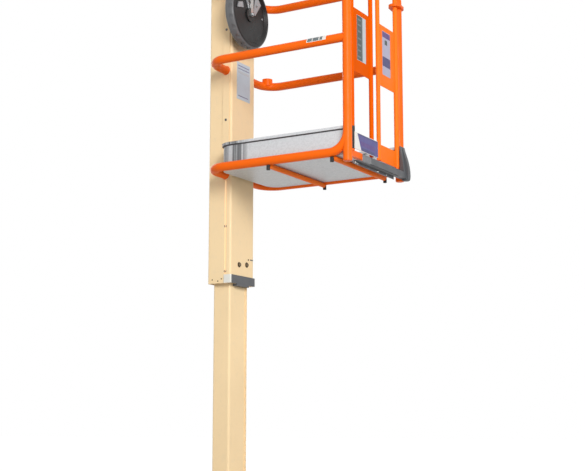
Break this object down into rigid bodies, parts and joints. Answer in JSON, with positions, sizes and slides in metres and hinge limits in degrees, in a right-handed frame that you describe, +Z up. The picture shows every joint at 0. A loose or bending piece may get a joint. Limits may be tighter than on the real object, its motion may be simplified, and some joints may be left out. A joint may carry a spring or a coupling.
{
  "type": "vertical mast lift",
  "caption": "Manually wound vertical mast lift: telescopic mast on a castor base, with a guard-railed platform, saloon gates and a hand wheel.",
  "frame": {"origin": "on the floor under the middle of the base", "axes": "+X from the mast towards the entry gates, +Y across, +Z up"},
  "size_m": [1.28, 0.7, 3.315],
  "materials": {
    "mast_paint": "semi-gloss",
    "cage_paint": "semi-gloss",
    "board": "satin",
    "grey_metal": "semi-gloss",
    "galvanised": "spangled zinc",
    "bright_steel": "zinc plated",
    "dark_plastic": "moulded",
    "pad_plastic": "moulded",
    "rubber": "matt",
    "tyre": "matt",
    "rim": "moulded"
  },
  "bodies": {
    "base": {"base_frame": "mast_paint", "mast_foot": "mast_paint", "inner_column": "mast_paint", "latch_strip": "mast_paint", "top_pads": "pad_plastic", "near_rear_axle": "mast_paint", "near_castor_plate": "bright_steel", "far_rear_axle": "mast_paint", "far_castor_plate": "bright_steel"},
    "outer_mast": {"outer_column": "mast_paint", "mast_cap": "dark_plastic", "guide_block": "dark_plastic", "guide_cheeks": "pad_plastic", "side_pads": "pad_plastic"},
    "cage": {"drive_bracket": "grey_metal", "drive_housing": "grey_metal", "wheel_shaft": "bright_steel", "cross_bar": "cage_paint", "front_bar": "cage_paint", "rubber_feet": "rubber", "tray": "galvanised", "front_sill": "cage_paint", "sill_bar": "dark_plastic", "near_slider": "mast_paint", "near_side_loop": "cage_paint", "near_mid_rail": "cage_paint", "near_hinge_collar": "cage_paint", "far_slider": "mast_paint", "far_side_loop": "cage_paint", "far_mid_rail": "cage_paint", "far_hinge_collar": "cage_paint"},
    "winding_wheel": {"hand_wheel": "dark_plastic", "crank_handle": "bright_steel"},
    "near_gate_leaf": {"near_gate": "cage_paint", "near_gate_board": "board"},
    "near_rear_wheel": {"near_rear_tyre": "tyre", "near_rear_rim": "rim"},
    "near_castor": {"near_castor_fork": "bright_steel"},
    "near_castor_wheel": {"near_castor_tyre": "tyre", "near_castor_rim": "rim"},
    "far_gate_leaf": {"far_gate": "cage_paint"},
    "far_rear_wheel": {"far_rear_tyre": "tyre", "far_rear_rim": "rim"},
    "far_castor": {"far_castor_fork": "bright_steel"},
    "far_castor_wheel": {"far_castor_tyre": "tyre", "far_castor_rim": "rim"}
  },
  "joints": [
    {"name": "mast_lift", "type": "slide", "parent": "base", "child": "outer_mast", "axis": [0, 0, 1], "range_m": [-1.32, 0]},
    {"name": "cage_lift", "type": "slide", "parent": "outer_mast", "child": "cage", "axis": [0, 0, 1], "range_m": [-0.46, 0]},
    {"name": "hand_wheel_spin", "type": "hinge", "parent": "cage", "child": "winding_wheel", "pos_m": [-0.226, -0.079, 3.114], "axis": [1, 0, 0], "continuous": true},
    {"name": "near_gate_swing", "type": "hinge", "parent": "cage", "child": "near_gate_leaf", "pos_m": [0.547, -0.269, 2.7], "axis": [0, 0, 1], "range_deg": [0, 85]},
    {"name": "near_rear_spin", "type": "hinge", "parent": "base", "child": "near_rear_wheel", "pos_m": [-0.54, -0.3275, 0.1], "axis": [0, 1, 0], "continuous": true},
    {"name": "near_castor_swivel", "type": "hinge", "parent": "base", "child": "near_castor", "pos_m": [0.525, -0.245, 0.15], "axis": [0, 0, 1], "continuous": true},
    {"name": "near_castor_spin", "type": "hinge", "parent": "near_castor", "child": "near_castor_wheel", "pos_m": [0.487, -0.245, 0.0625], "axis": [0, 1, 0], "continuous": true},
    {"name": "far_gate_swing", "type": "hinge", "parent": "cage", "child": "far_gate_leaf", "pos_m": [0.547, 0.269, 2.7], "axis": [0, 0, -1], "range_deg": [0, 85]},
    {"name": "far_rear_spin", "type": "hinge", "parent": "base", "child": "far_rear_wheel", "pos_m": [-0.54, 0.3275, 0.1], "axis": [0, 1, 0], "continuous": true},
    {"name": "far_castor_swivel", "type": "hinge", "parent": "base", "child": "far_castor", "pos_m": [0.525, 0.245, 0.15], "axis": [0, 0, 1], "continuous": true},
    {"name": "far_castor_spin", "type": "hinge", "parent": "far_castor", "child": "far_castor_wheel", "pos_m": [0.487, 0.245, 0.0625], "axis": [0, 1, 0], "continuous": true}
  ]
}
